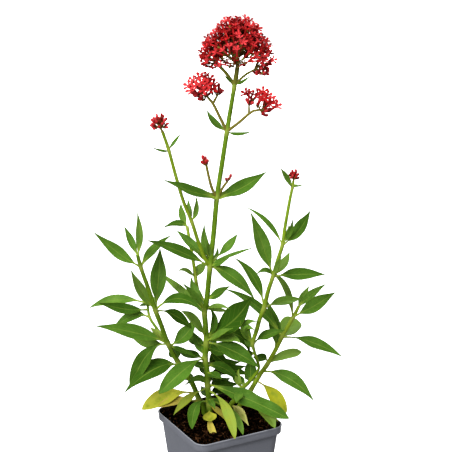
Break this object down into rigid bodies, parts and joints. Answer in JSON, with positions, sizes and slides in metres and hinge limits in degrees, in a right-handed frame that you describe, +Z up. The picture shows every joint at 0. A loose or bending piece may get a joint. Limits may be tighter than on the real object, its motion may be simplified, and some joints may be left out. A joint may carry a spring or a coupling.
{
  "type": "potted red valerian",
  "caption": "Red valerian plant in flower, with leafy stems, a domed flower head, side heads and buds, standing in compost in a square nursery pot.",
  "frame": {"origin": "the middle of the pot's underside, on the surface it stands on", "axes": "+Z up; X and Y along the pot's square sides, with the pictured corner towards -X and -Y"},
  "size_m": [0.219, 0.1574, 0.4683],
  "materials": {
    "pot_plastic": "satin moulded",
    "compost": "damp and crumbly",
    "foliage": "waxy leaf",
    "faded_foliage": "faded leaf",
    "petals": "soft petal"
  },
  "bodies": {
    "root": {"pot": "pot_plastic", "compost": "compost", "main_shoot": "foliage", "left_shoot": "foliage", "right_shoot": "foliage", "flowering_shoot": "foliage", "faded_leaf_left": "faded_foliage", "faded_leaf_left_corner": "faded_foliage", "faded_leaf_front_left": "faded_foliage", "faded_leaf_front": "faded_foliage", "faded_leaf_front_right": "faded_foliage", "faded_leaf_right": "faded_foliage", "faded_leaf_right_corner": "faded_foliage", "main_flower_head": "petals", "left_flower_head": "petals", "right_flower_head": "petals", "tall_bud_head": "petals", "left_bud_stalk": "petals", "right_bud_stalk": "petals", "right_bud_head": "petals"}
  },
  "joints": []
}
